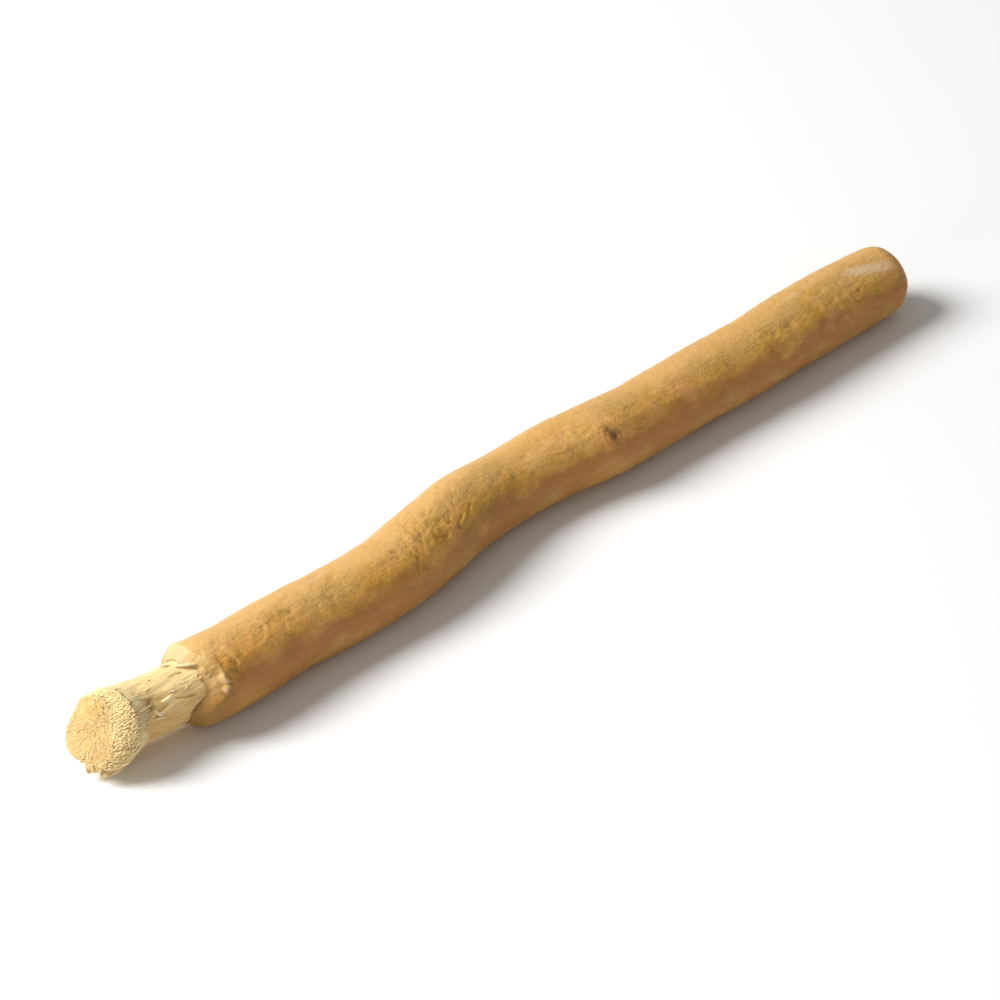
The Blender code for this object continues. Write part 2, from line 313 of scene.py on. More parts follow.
# How deep the torn fibres of the neck stand and lie. Its hollows, in mm and degrees: along, turn, depth,
# length and width. Its grooves: along and turn at both ends, bow, width and depth
NECK_RIDGE = 0.11 * MM
NECK_GROOVE = 0.07 * MM
NECK_FIBRE = 0.05 * MM
BRUSH_FLUTE = 0.16 * MM
FLUTES_FROM_X = -87 * MM
NECK_HOLLOWS = (
    (-85.4, 133, 0.45, 3.4, 1.9),
    (-88.4, 188, 0.3, 1.4, 1.6),
    (-82, 345, 0.5, 3.6, 1.5),
    (-80, 265, 0.3, 3.2, 1.3),
)
NECK_GROOVES = (
    (-81.6, 143, -77.4, 154, 0.2, 0.34, 0.24),
    (-78.3, 96, -74.3, 118, 0.2, 0.36, 0.08),
    (-88.9, 118, -84.6, 128, 0.2, 0.38, 0.2),
    (-88.6, 142, -85, 134, 0.2, 0.34, 0.22),
    (-86.4, 158, -82.6, 148, -0.2, 0.36, 0.2),
    (-80.6, 120, -77.8, 131, 0.1, 0.4, 0.12),
)
NECK_LEAN = 0.45 * MM
NECK_LEANS_TO = 75 * DEGREE
LEAN_X, LEAN_REACH = -87.5 * MM, 2.8 * MM

# The brush's wood wore away underneath and on its near side: by what share, round what turn, from what place
BRUSH_WEAR = 0.42
WORN_TOWARD, WORN_SPREAD = 272 * DEGREE, 0.62
WORN_FROM_X, WORN_OVER = -89.5 * MM, 4.5 * MM
BRUSH_ROUNDED = 0.26
NEAR_SIDE, NEAR_SPREAD = 155 * DEGREE, 0.95
ROUNDED_FROM_X, ROUNDED_OVER = -91.5 * MM, 3.0 * MM


def worn_side(turn):
    """1 under the brush, where it wore away, and 0 elsewhere: a bell round the stick."""
    return bell(turn_between(turn, WORN_TOWARD), WORN_SPREAD)


def shoulder(turn):
    """1 on the brush's near side, where its face rounds off, and 0 on the far side: a flat-topped bell."""
    return bell(turn_between(turn, NEAR_SIDE), NEAR_SPREAD, 4)


def worn_share(along, turn):
    """What is left of the wood's radius at the brush's end: 1 less two bells, each times a smooth step."""
    underneath = BRUSH_WEAR * worn_side(turn) * rounded((WORN_FROM_X - along) / WORN_OVER)
    near_side = BRUSH_ROUNDED * shoulder(turn) * rounded((ROUNDED_FROM_X - along) / ROUNDED_OVER)
    return 1 - underneath - near_side


def neck_relief(along, turn):
    """Height over the neck's even surface: long ridges, less winding creases, its hollows and its grooves."""
    drift = turn + 0.02 * np.sin(along / (1.7 * MM)) + 9 * (along + 0.08)
    height = NECK_RIDGE * layered(along, drift, 13 * MM, 15, seed=3)
    height += NECK_FIBRE * layered(along, drift, 5 * MM, 52, seed=29, layers=2)
    height -= NECK_GROOVE * creases(along, drift, 16 * MM, 12, seed=11, width=0.10)
    on_brush = rounded((FLUTES_FROM_X - along) / (3 * MM))
    height += BRUSH_FLUTE * on_brush * layered(along, turn, 9 * MM, 24, seed=31)
    for middle, toward, depth, length, width in NECK_HOLLOWS:
        x, y = away_from(along, turn, middle * MM, toward * DEGREE)
        height -= depth * MM * bell(x, length * MM) * bell(y, width * MM)
    for row in NECK_GROOVES:
        height -= row[-1] * MM * wrinkle(along, turn, row)
    return height


def neck_lean(along, turn):
    """How far the neck's surface is lifted on one side and lowered on the other: a bell along it."""
    return NECK_LEAN * bell(along - LEAN_X, LEAN_REACH) * np.cos(turn - NECK_LEANS_TO)


# The wood's rings are close together at the brush and the neck, far apart under the bark, and then run in
# over the cut end's face, which is a little sunk and rough
WOOD_AROUND = 240
END_SUNK = 0.08 * MM
END_ROUGHNESS = 0.05 * MM
# The turn that faces the key light: colour is painted lighter toward it and with shade away from it
LIGHT_SIDE_TOWARD = 55 * DEGREE
core = bark_radius(CUT_END_X - END_ROUNDING) - WOOD_COVER
neck_along = np.append(np.linspace(-94.8, -94.1, 10) * MM, np.linspace(-94.0, -71.0, 156) * MM)
hidden_along = np.linspace(-66.0 * MM, CUT_END_X - END_ROUNDING, 22)
face_radius = core * np.linspace(1, 0.04, 30)
before_face = end_reach(core) - 0.5 * MM
wood_along = np.concatenate((neck_along, hidden_along, [before_face], end_reach(face_radius)))
even_radius = np.concatenate((wood_radius(neck_along), wood_radius(hidden_along), [core], face_radius))
turn = np.linspace(0, 2 * math.pi, WOOD_AROUND, endpoint=False)[None, :]
along, radius = wood_along[:, None], even_radius[:, None]
bare = rounded((BARK_LIP_X - mouth_edge(turn) + 1.2 * MM - along) / (1.6 * MM))
relief = neck_relief(along, turn) * bare * np.minimum(1, radius / (3 * MM))
end_face = np.clip((along - end_reach(core) + 0.1 * MM) / (0.1 * MM), 0, 1)
worn = END_ROUGHNESS * layered(radius * np.cos(turn), radius / core + turn, 1.1 * MM, 12, seed=5)
surface = (radius + relief + neck_lean(along, turn)) * worn_share(along, turn)
places = grown(sloped(along, radius, turn) + end_face * (worn - END_SUNK), surface, turn)
wood = skin(
    "peeled_wood",
    places,
    "capped",
    straight_places(along, radius, turn),
    {
        # hollow: how deep the surface sinks, which darkens the hollows with painted shade
        "hollow": np.clip(-relief / (0.45 * MM), 0, 1),
        "end_face": end_face,
        # ridge_highlight: a painted highlight on the ridges
        "ridge_highlight": np.clip(relief / (0.25 * MM), 0, 1),
        # faces_light: 1 toward the light and -1 away from it, for painted light and shade
        "faces_light": np.cos(turn - LIGHT_SIDE_TOWARD) + 0.25 * layered(along, turn, 8 * MM, 9, seed=37),
    },
)


def add(tree, kind, inputs=(), **settings):
    """A node of this kind, with its settings made and its inputs given what they need.

    That is a value, another node's output, or the name of a number that the mesh keeps for its points.
    """
    made = tree.nodes.new("ShaderNode" + kind)
    for setting, value in settings.items():
        setattr(made, setting, value)
    for socket, value in dict(inputs).items():
        if isinstance(value, str):
            value = add(tree, "Attribute", attribute_name=value).outputs["Fac"]
        if isinstance(value, bpy.types.NodeSocket):
            tree.links.new(value, made.inputs[socket])
        else:
            made.inputs[socket].default_value = value
    return made


def between(tree, share, first, second):
    """The first colour where the share is 0, the second where it is 1, and their mixture in between."""
    first, second = (
        (*colour, 1.0) if isinstance(colour, tuple) else colour for colour in (first, second)
    )
    return add(tree, "Mix", {0: share, 6: first, 7: second}, data_type="RGBA").outputs[2]


def painted(tree, colour, *coats):
    """The colour under one coat after another, each given as its share and its own colour."""
    for share, coat in coats:
        colour = between(tree, share, colour, coat)
    return colour


def carried(tree, value, low, high, top=1.0):
    """A smooth step of the value: 0 up to low, and top from high."""
    ends = {"Value": value, "From Min": low, "From Max": high, "To Max": top}
    return add(tree, "MapRange", ends, interpolation_type="SMOOTHSTEP").outputs["Result"]


def reckoned(tree, operation, first, second=0.0):
    """One sum, such as MULTIPLY, of two values."""
    return add(tree, "Math", {0: first, 1: second}, operation=operation).outputs[0]


def scaled(tree, value, factor):
    """The value times a factor, which may be another value."""
    return reckoned(tree, "MULTIPLY", value, factor)


def noise_effect(name, squeeze, detail, roughness, distortion):
    """A shader group for an effect that several finishes use, its noise, and its output, still to be wired.

    The noise has the size that the group is given, and is squeezed along the stick by a factor.
    """
    group = bpy.data.node_groups.new(name, "ShaderNodeTree")
    for label, kind in (("Place", "Vector"), ("Size", "Float")):
        group.interface.new_socket(label, in_out="INPUT", socket_type="NodeSocket" + kind)
    group.interface.new_socket("Share", in_out="OUTPUT", socket_type="NodeSocketFloat")
    given = group.nodes.new("NodeGroupInput").outputs
    place = add(group, "VectorMath", {0: given["Place"], 1: (squeeze, 1, 1)}, operation="MULTIPLY")
    inputs = {"Vector": place.outputs[0], "Scale": reckoned(group, "DIVIDE", 1.0, given["Size"])}
    inputs |= {"Detail": detail, "Roughness": roughness, "Distortion": distortion}
    noise = add(group, "TexNoise", inputs).outputs[0]
    return group, noise, group.nodes.new("NodeGroupOutput").inputs["Share"]


def effect(tree, group, size):
    """A shared effect in a finish, at this size, laid out as if the stick had grown straight."""
    place = add(tree, "Attribute", attribute_name="straight").outputs["Vector"]
    return add(tree, "Group", {"Place": place, "Size": size}, node_tree=group).outputs["Share"]


def new_finish(name, roughness, specular):
    """A material, with its nodes and its Principled shader."""
    finish = bpy.data.materials.new(name)
    finish.use_nodes = True
    shader = finish.node_tree.nodes["Principled BSDF"]
    shader.inputs["Roughness"].default_value = roughness
    shader.inputs["Specular IOR Level"].default_value = specular
    return finish, finish.node_tree, shader


def colour_and_bump(tree, shader, colour, height, depth):
    """Wires in the colour, and makes a bump of the height, which counts for this many metres."""
    bump = add(tree, "Bump", {"Height": height, "Distance": depth, "Strength": 1.0})
    tree.links.new(colour, shader.inputs["Base Color"])
    tree.links.new(bump.outputs["Normal"], shader.inputs["Normal"])


# Fibre streaks, eight times as long as they are wide
streaks, noise, share = noise_effect("fibre_streaks", 0.125, 4.0, 0.55, 0.3)
streaks.links.new(carried(streaks, noise, 0.30, 0.70), share)

# Blotches: soft-edged patches, a little longer along the stick
blotches, noise, share = noise_effect("blotches", 0.6, 5.0, 0.6, 0.5)
blotches.links.new(carried(blotches, noise, 0.38, 0.62), share)

WOOD_CREAM = (0.89, 0.67, 0.32)
WOOD_STRAW = (0.81, 0.565, 0.235)
WOOD_PALE = (0.93, 0.76, 0.44)
# Painted shade: tan on the side away from the light
WOOD_PAINTED_SHADE = (0.68, 0.42, 0.145)
# Painted shade in the hollows
WOOD_HOLLOW_SHADE = (0.56, 0.38, 0.13)
END_GRAIN = (0.66, 0.47, 0.22)
END_PORES = (0.33, 0.20, 0.08)

wood_finish, tree, shader = new_finish("torn_wood", roughness=0.82, specular=0.25)
fine_streaks = effect(tree, streaks, 0.22 * MM)
broad_streaks = effect(tree, streaks, 0.9 * MM)
pores = scaled(tree, effect(tree, blotches, 0.35 * MM), 0.7)
colour = painted(
    tree,
    WOOD_CREAM,
    (broad_streaks, WOOD_STRAW),
    (scaled(tree, fine_streaks, 0.45), WOOD_PALE),
    # Painted highlight on the ridges
    (scaled(tree, "ridge_highlight", 0.5), WOOD_PALE),
    # Painted shade on the side away from the light
    (carried(tree, "faces_light", 0.25, -0.5, 0.85), WOOD_PAINTED_SHADE),
    # Painted shade in the hollows
    (carried(tree, "hollow", 0.1, 1.0, 0.75), WOOD_HOLLOW_SHADE),
    ("end_face", between(tree, pores, END_GRAIN, END_PORES)),
)
height = reckoned(tree, "ADD", scaled(tree, broad_streaks, 2.0), fine_streaks)
colour_and_bump(tree, shader, colour, height, 0.05 * MM)
shader.inputs["Subsurface Weight"].default_value = 0.35
shader.inputs["Subsurface Scale"].default_value = 0.5 * MM
shader.inputs["Subsurface Radius"].default_value = (1.0, 0.7, 0.4)
wood.data.materials.append(wood_finish)
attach(wood, "root")
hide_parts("wood")

# The frayed brush
# Where the bark is off, the end of the wood was chewed and beaten until its fibres came apart. Their ends
# make a felted face that slopes back towards the top. Round it the outer fibres lie side by side, from the
# wood out to a rim that is rounded off on the near side and ragged below it.

# The rim: its widest place, and where its fibres are rooted. Its tufts are ragged round one turn and lie flat
# round another
BRUSH_BELLY_X = -91.8 * MM
BRUSH_RADIUS = 6.7 * MM
ROOTS_X = -88.8 * MM
ROOT_SUNK = 0.35 * MM
RIM_FIBRES = 3400
RIM_FIBRE_WIDTH = 0.14 * MM
RIM_TUFTS = 46
RAGGED_TOWARD, RAGGED_SPREAD = 225 * DEGREE, 0.7
FLAT_TOWARD, FLAT_SPREAD = 1.1, 1.0
FIBRE_WAVE = 0.03 * MM

# The face: how far it bulges, how far its fibres stray, lean with their tuft and gather to its middle, as
# shares of its radius, how uneven they are, and its slit, from one place to another as across + up
FACE_BULGE = 0.5 * MM
FACE_FIBRES = 4600
FACE_FIBRE_WIDTH = 0.15 * MM
FACE_ROOTS_RADIUS = 5.2 * MM
FACE_TUFTS = 170
FACE_STRAY = 0.008
TUFT_LEAN = 0.007
TUFT_GATHER = 0.06
FELT = 0.05 * MM
SLIT = (0.233 + 0.129j, -0.011 + 0.235j)
SLIT_WIDTH = 0.025
SLIT_DEPTH = 0.18 * MM

# The edge of the face, as turn in degrees and radius in mm. It is worn away underneath, except for two teeth.
# The near side is rounded off by the value below it
FACE_EDGE = (
    (0, 5.7), (22, 5.8), (33, 6.45), (47, 6.9), (65, 6.6), (99, 6.45), (122, 6.5), (143, 6.1),
    (171, 6.2), (187, 6.5), (207, 5.6), (224, 5.2), (235, 5.1), (239, 4.3), (245, 4.3), (250, 4.6),
    (264, 4.6), (270, 3.2), (286, 3.7), (308, 5.1), (328, 5.8), (345, 5.85),
)
EDGE_ROUNDED = 1.9
GOLDEN_ANGLE = math.pi * (3 - math.sqrt(5))


def spread(number, count):
    """Even places on a disc: the share of the radius and the turn, a golden angle on from the last one."""
    return np.sqrt((number + 0.5) / count), number * GOLDEN_ANGLE % (2 * math.pi)


def strands(name, along, radius, turn, paths, broad, thin, tones):
    """Tapered four-sided strands in one mesh, along the paths of an array of strand, step and xyz.

    At each step the section is a diamond: `broad` to both sides, square to the path and to the way out from
    the stick's axis, and `thin` outwards and inwards. Both may change along it, and the two ends are closed.
    """
    count, steps = paths.shape[:2]
    heading = np.gradient(paths, axis=1)
    outward = np.stack((0 * along, np.cos(turn), np.sin(turn)), axis=-1)
    side = np.cross(heading, outward)
    side /= np.linalg.norm(side, axis=-1, keepdims=True)
    up = np.cross(side, heading)
    up /= np.linalg.norm(up, axis=-1, keepdims=True)
    side, up = side * broad[..., None], up * thin[..., None]
    corners = np.stack((side, -up, -side, up), axis=2) + paths[:, :, None]
    index = np.arange(count * steps * 4).reshape(count, steps, 4)
    ahead = np.roll(index, -1, axis=2)
    walls = np.stack((index[:, :-1], ahead[:, :-1], ahead[:, 1:], index[:, 1:]), axis=-1)
    ends = np.concatenate((index[:, 0, ::-1], index[:, -1]))
    faces = walls.reshape(-1, 4).tolist() + ends.tolist()
    tones = {tone: np.broadcast_to(value[..., None], index.shape) for tone, value in tones.items()}
    straight = np.broadcast_to(straight_places(along, radius, turn)[:, :, None], corners.shape)
    return linked_mesh(name, corners.reshape(-1, 3), faces, straight, tones)


def face_edge(turn):
    """The radius of the edge of the brush's face: its table's curve, less a bell on the near side."""
    return MM * (by_turn(FACE_EDGE, 1, turn) - EDGE_ROUNDED * shoulder(turn))


def fibres_along(name, roots, tips, steps, width, draw, face):
    """Fibres from roots to tips, each given as along, radius and turn, with a slight wave.

    The place along goes evenly, the radius with the way gone to the power 1.2 and the turn to the power 1.5.
    A fibre of the rim, where `face` is under 1, stays on the wood, and its root is sunk into it by the cube
    of the way left.
    """
    count = len(face)
    way = np.linspace(0, 1, steps)[None, :]
    root_x, root_radius, root_turn = (value[:, None] for value in roots)
    tip_x, tip_radius, tip_turn = (value[:, None] for value in tips)
    along = root_x + (tip_x - root_x) * way
    radius = root_radius + (tip_radius - root_radius) * way**1.2
    turn = root_turn + turn_between(tip_turn, root_turn) * way**1.5
    wave = draw.normal(0, FIBRE_WAVE, (2, count, 1)) * np.sin(math.pi * way) * (1 + 0.8 * np.cos(5 * way))
    turn = turn + wave[1] / np.maximum(radius, 1 * MM)
    on_wood = (wood_radius(along) + neck_lean(along, turn)) * worn_share(along, turn)
    held = np.maximum(radius, on_wood - ROOT_SUNK * (1 - way) ** 3)
    radius = np.where(face[:, None] < 1, held, radius) + wave[0]
    paths = grown(sloped(along, radius, turn), radius, turn)
    paths[..., 2] = np.maximum(paths[..., 2], 0.2 * MM)
    paths[..., 0] = np.maximum(paths[..., 0], BRUSH_TIP_X)
    taper = (1 - 0.35 * way**2.2) * draw.uniform(0.75, 1.25, (count, 1))
    tones = {
        "tone": draw.uniform(0, 1, (count, 1)),
        "reach": way,
        "face": face[:, None],
        # faces_light, for painted shade on the fibres' far side
        "faces_light": np.cos(turn - LIGHT_SIDE_TOWARD),
    }
    return strands(name, along, radius, turn, paths, width * taper, 0.8 * width * taper, tones)


def face_fibres(name, count, seed):
    """The fibres whose ends make the felted face.

    The tips are on the sloping face, which bulges by (1 - share^2), and are drawn a little way to the middle
    of their tuft, which has its own length and lean. They lie back along one slit. The roots are just inside
    the wood under them.
    """
    draw = np.random.default_rng(seed)
    share, turn = spread(np.arange(count), count)
    stray = draw.normal(0, FACE_STRAY, count) + 1j * draw.normal(0, FACE_STRAY, count)
    spot = share * np.exp(1j * turn) + stray
    tuft_share, tuft_turn = spread(np.arange(FACE_TUFTS), FACE_TUFTS)
    tuft = tuft_share * np.exp(1j * tuft_turn)
    nearest = np.abs(spot[:, None] - tuft[None, :]).argmin(axis=1)
    reach = draw.normal(0, FELT, FACE_TUFTS)
    lean = draw.normal(0, TUFT_LEAN, FACE_TUFTS) + 1j * draw.normal(0, TUFT_LEAN, FACE_TUFTS)
    tip = spot + TUFT_GATHER * (tuft[nearest] - spot) + lean[nearest]
    tip_share, tip_turn = np.minimum(np.abs(tip), 1), np.angle(tip)
    run = SLIT[1] - SLIT[0]
    gone = np.clip(((tip - SLIT[0]) * np.conj(run)).real / abs(run) ** 2, 0, 1)
    in_slit = bell(np.abs(tip - SLIT[0] - gone * run), SLIT_WIDTH)
    tip_x = FACE_X - FACE_BULGE * (1 - tip_share**2) + SLIT_DEPTH * in_slit
    tip_x += reach[nearest] + np.abs(draw.normal(0, FELT, count))
    worn = worn_share(FACE_X, turn)
    root_radius = FACE_ROOTS_RADIUS * share * worn
    root_x = np.interp(root_radius / worn, NECK[:5, 1], NECK[:5, 0]) + 0.5 * MM
    roots, tips = (root_x, root_radius, turn), (tip_x, face_edge(tip_turn) * tip_share, tip_turn)
    return fibres_along(name, roots, tips, 4, FACE_FIBRE_WIDTH, draw, np.ones(count))


def rim_fibres(name, count, seed):
    """The fibres that lie along the side of the brush and end on its rim, in tufts side by side.

    Their ends go round the rim's curve by an angle, from just inside the edge of the face to the belly of
    the brush, where it is widest. Each tuft has its own reach and splay, most of all at the ragged side.
    """
    draw = np.random.default_rng(seed)
    turn = np.arange(count) * GOLDEN_ANGLE % (2 * math.pi)
    round_the_rim = draw.uniform(0, math.pi / 2, count)
    layer = 1 - np.cos(round_the_rim)
    tuft = np.floor(turn / (2 * math.pi) * RIM_TUFTS).astype(int)
    middle = (tuft + 0.5 + draw.uniform(-0.25, 0.25, RIM_TUFTS)[tuft]) / RIM_TUFTS * 2 * math.pi
    reach = draw.normal(0, 0.20 * MM, RIM_TUFTS)[tuft] * layer
    splay = draw.uniform(-0.10, 0.20, RIM_TUFTS)[tuft] * MM
    splay *= 1 - 0.8 * bell(turn_between(turn, FLAT_TOWARD), FLAT_SPREAD)
    ragged = bell(turn_between(turn, RAGGED_TOWARD), RAGGED_SPREAD)
    splay += ragged * draw.normal(0, 0.30 * MM, RIM_TUFTS)[tuft]
    reach += ragged * draw.normal(0, 0.28 * MM, RIM_TUFTS)[tuft]
    gathered = 0.30 - 0.22 * shoulder(turn) + 0.35 * ragged
    tip_turn = turn + gathered * turn_between(middle, turn) + draw.normal(0, 0.022, count)
    tip_x = FACE_X + (BRUSH_BELLY_X - FACE_X) * layer + reach + draw.normal(0, 0.12 * MM, count)
    belly = BRUSH_RADIUS * (1 - 0.12 * worn_side(tip_turn))
    inmost = face_edge(tip_turn) - 0.5 * MM
    tip_radius = inmost + (belly - inmost) * np.sin(round_the_rim) + splay * (layer + (1 - layer) * ragged)
    root_x = ROOTS_X + 1.6 * MM * layer + draw.normal(0, 0.8 * MM, count)
    root_radius = wood_radius(root_x) + neck_lean(root_x, turn) - ROOT_SUNK
    roots, tips = (root_x, root_radius, turn), (tip_x, tip_radius, tip_turn)
    return fibres_along(name, roots, tips, 6, RIM_FIBRE_WIDTH, draw, 0.5 * (1 - layer))


inner_fibres = face_fibres("brush_face_fibres", FACE_FIBRES, seed=41)
outer_fibres = rim_fibres("brush_rim_fibres", RIM_FIBRES, seed=43)

FIBRE_FACE = (0.70, 0.485, 0.20)
FIBRE_FACE_PALE = (0.76, 0.56, 0.26)
FIBRE_SIDE = (0.96, 0.785, 0.445)
# Painted shade at the roots, and the colour of the darker fibres
FIBRE_SHADE = (0.66, 0.42, 0.14)

fibre_finish, tree, shader = new_finish("brush_fibre", roughness=0.8, specular=0.2)
face_colour = between(tree, effect(tree, blotches, 1.6 * MM), FIBRE_FACE, FIBRE_FACE_PALE)
# Where painted shade falls: near the roots, and on the side away from the light
at_root = carried(tree, "reach", 0.55, 0.05)
shaded_side = carried(tree, "faces_light", 0.25, -0.5, 0.85)
colour = painted(
    tree,
    FIBRE_SIDE,
    ("face", face_colour),
    # Painted shade near the roots: tan on the side away from the light, and darker all round
    (scaled(tree, shaded_side, at_root), WOOD_PAINTED_SHADE),
    (carried(tree, "reach", 0.5, 0.0, 0.08), FIBRE_SHADE),
    (carried(tree, "tone", 0.55, 1.0, 0.25), WOOD_PALE),
    (carried(tree, "tone", 0.25, 0.0, 0.12), FIBRE_SHADE),
)
colour_and_bump(tree, shader, colour, effect(tree, streaks, 0.12 * MM), 0.02 * MM)
for fibres in (inner_fibres, outer_fibres):
    fibres.data.materials.append(fibre_finish)
    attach(fibres, "root")

# Slivers torn from the neck
# Peeling and beating lifted thin splinters of the same wood along the neck. Four by its hollow are almost
# white, partly from their own paler wood and partly from a painted highlight. Each is still fast at one end
# and ends in a point.

NECK_SLIVERS = 44

# In mm and degrees: along and turn of root and tip, rise, and half width
WHITE_SLIVERS = (
    (-80.6, 133, -84.2, 137, 0.25, 0.66),
    (-83.4, 161, -86.1, 149, 0.25, 0.58),
    (-84.8, 143, -86.2, 149, 0.35, 0.36),
    (-79.6, 128, -82.2, 126, 0.25, 0.3),
)


def measured(row):
    """A strip's row with its lengths made metres, and its turns, which come second and fourth, radians."""
    return [value * (DEGREE if i in (1, 3) else MM) for i, value in enumerate(row)]


def lying_strips(name, table, whiteness, steps=9):
    """Flat strips that lie on the stick and lift off towards their tips, one for each row of the table.

    A row gives the along and turn of the root and of the tip, the radius of the surface under each, how far
    the root is sunk, how far the tip rises, the sideways bow, and half the width and half the thickness.
    """
    columns = np.array(table).T[:, :, None]
    start, start_turn, end, end_turn, under, under_tip, sunk, rise, bow, broad, thin = columns
    way = np.linspace(0, 1, steps)[None, :]
    along = start + (end - start) * way
    radius = under + (under_tip - under) * way - sunk * (1 - way) ** 2 + rise * way**1.8
    turn = start_turn + turn_between(end_turn, start_turn) * way
    turn = turn + bow * np.sin(math.pi * way) / radius
    swelling = np.sqrt(np.clip(way, 0.06, 1)) * (1.0004 - way**1.8) ** 0.8 * 1.25
    paths = grown(along, radius, turn)
    paths[..., 2] = np.maximum(paths[..., 2], 0.3 * MM)
    half_sizes = broad * swelling, thin * swelling**0.5
    return strands(name, along, radius, turn, paths, *half_sizes, {"tone": whiteness[:, None]})


def on_neck(along, turn):
    """The radius of the neck's torn surface, hollows and all."""
    return wood_radius(along) + neck_lean(along, turn) + neck_relief(along, turn)


draw = np.random.default_rng(59)
start = draw.uniform(-89.5, -76.5, NECK_SLIVERS) * MM
start_turn = draw.uniform(0, 2 * math.pi, NECK_SLIVERS)
reach = draw.uniform(1.8, 5.5, NECK_SLIVERS) * MM * np.where(draw.uniform(size=NECK_SLIVERS) < 0.7, -1, 1)
end = np.clip(start + reach, -91.0 * MM, -76.0 * MM)
end_turn = start_turn + draw.normal(0, 0.12, NECK_SLIVERS)
under = on_neck(start, start_turn), on_neck(end, end_turn)
sunk = np.full(NECK_SLIVERS, 0.35 * MM)
rise = draw.uniform(0.02, 0.22, NECK_SLIVERS) * MM
bow = draw.normal(0, 0.25, NECK_SLIVERS) * MM
broad = draw.uniform(0.12, 0.40, NECK_SLIVERS) * MM
thin = draw.uniform(0.06, 0.12, NECK_SLIVERS) * MM
slivers = np.transpose((start, start_turn, end, end_turn, *under, sunk, rise, bow, broad, thin)).tolist()
slivers += [
    (a, t, b, u, on_neck(a, t), on_neck(b, u), 0.3 * MM, rise, 0.3 * MM, broad, 0.16 * MM)
    for a, t, b, u, rise, broad in map(measured, WHITE_SLIVERS)
]
whiteness = np.concatenate((draw.uniform(0, 0.5, NECK_SLIVERS), np.ones(len(WHITE_SLIVERS))))
neck_slivers = lying_strips("neck_slivers", slivers, whiteness)

SLIVER_PALE_AND_HIGHLIGHT = (0.90, 0.72, 0.43)

sliver_finish, tree, shader = new_finish("sliver_wood", roughness=0.8, specular=0.15)
colour = between(tree, effect(tree, streaks, 0.25 * MM), WOOD_STRAW, WOOD_CREAM)
# Paler slivers at random, and the four white ones partly from a painted highlight
colour = between(tree, carried(tree, "tone", 0.3, 1.0), colour, SLIVER_PALE_AND_HIGHLIGHT)
colour_and_bump(tree, shader, colour, effect(tree, streaks, 0.15 * MM), 0.03 * MM)
neck_slivers.data.materials.append(sliver_finish)
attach(neck_slivers, "root")

# The bark
# A golden, leathery skin about a millimetre and a half thick, grown tight round the wood. It is crumpled
# where the root bends, and has one dark knot and a few scuffs. It is cut back at a bevel round the neck,
# where three curls of it stand up, and is worn round at the far end.

BARK_AROUND = 168
BARK_GAP = 0.05 * MM
MOUTH_REACH = 7.0 * MM

# The bark's rings have this spacing, and stand closer in some stretches: from, to and spacing in mm
RING_SPACING = 0.41 * MM
CLOSE_RINGS = ((-77.5, -69.0, 0.20), (-33.5, -12.0, 0.26), (9.0, 24.0, 0.26))

# Swellings: height in mm, more of it where the bark is crumpled, cell in mm, cells round, seed and layers
SWELLINGS = (
    (0.09, 0, 10, 6, 223, 2),
    (0.03, 0.1, 2.3, 19, 227, 3),
    (0.018, 0, 9, 30, 229, 2),
)

# Creases: depth in mm, more of it where the bark is crumpled, cell in mm, cells round, seed, width and drift
CREASES = (
    (0.01, 0.08, 4.2, 14, 233, 0.08, 12),
    (0.04, 0, 13, 15, 241, 0.05, 0),
)
PITS = 130

# Wrinkles seen in the bark: along and turn in degrees at both ends, bow, width and depth in mm. Ridges are
# negative. The curls are ridges too, and their last value is their height
WRINKLES = (
    (-14.3, 132, -17.1, 140, 0.1, 0.28, -0.22),
    (-15.3, 130, -18, 138, 0.1, 0.35, 0.24),
    (-23.8, 127, -20, 138, 0.5, 0.55, 0.28),
    (-29.6, 122, -28.2, 138, 0.3, 0.3, 0.3),
    (-30.6, 124, -29.2, 139, 0.3, 0.35, -0.2),
    (-23.6, 136, -22.4, 150, -0.9, 0.28, -0.18),
    (-22.9, 140, -21.8, 150, -0.5, 0.3, 0.16),
    (-29.1, 143, -29.8, 154, 0.2, 0.2, 0.16),
    (-26.6, 116, -24.4, 131, 0.4, 0.28, 0.18),
    (-19.8, 124, -18, 135, -0.3, 0.26, 0.18),
    (-12.3, 126, -14.2, 135, 0.2, 0.26, 0.16),
    (-32.6, 104, -31.2, 112, 0.2, 0.3, 0.2),
    (-34.2, 100, -32.8, 116, 0.5, 0.28, -0.12),
    (-26.9, 140, -24.8, 147, -0.2, 0.3, -0.15),
    (-10.5, 120, -8.2, 131, 0.3, 0.3, 0.12),
    (9.6, 131, 16.4, 130, 0.2, 0.22, -0.16),
    (9.9, 134, 14.2, 133, 0.2, 0.28, 0.08),
    (13.2, 127, 18.2, 125, 0.2, 0.22, -0.14),
    (7.2, 124, 10.4, 133, 0.4, 0.25, 0.14),
    (17.3, 167, 16.7, 187, 0.3, 0.24, 0.2),
    (16.2, 171, 15.6, 182, 0.2, 0.2, 0.12),
    (24, 112, 29.5, 108, 0.5, 0.24, 0.12),
    (-62.6, 108, -61.2, 110, 0, 0.28, 0.18),
    (-70.9, 128, -69.6, 135, 0.2, 0.26, 0.22),
    (-71.8, 138, -70.3, 143, 0.2, 0.24, 0.2),
    (-68, 147, -64.5, 150, 0.3, 0.26, 0.14),
    (-74.4, 133, -73.6, 139, 0, 0.6, 0.3),
    (83.9, 131, 84.7, 136, 0, 0.45, 0.35),
    (92.6, 119, 93.2, 123, 0, 0.35, 0.28),
    (82, 151, 82.6, 155, 0, 0.3, 0.22),
    (65.2, 60, 67.6, 70, 0, 0.35, 0.2),
)
WRINKLE_STRENGTH = 0.75
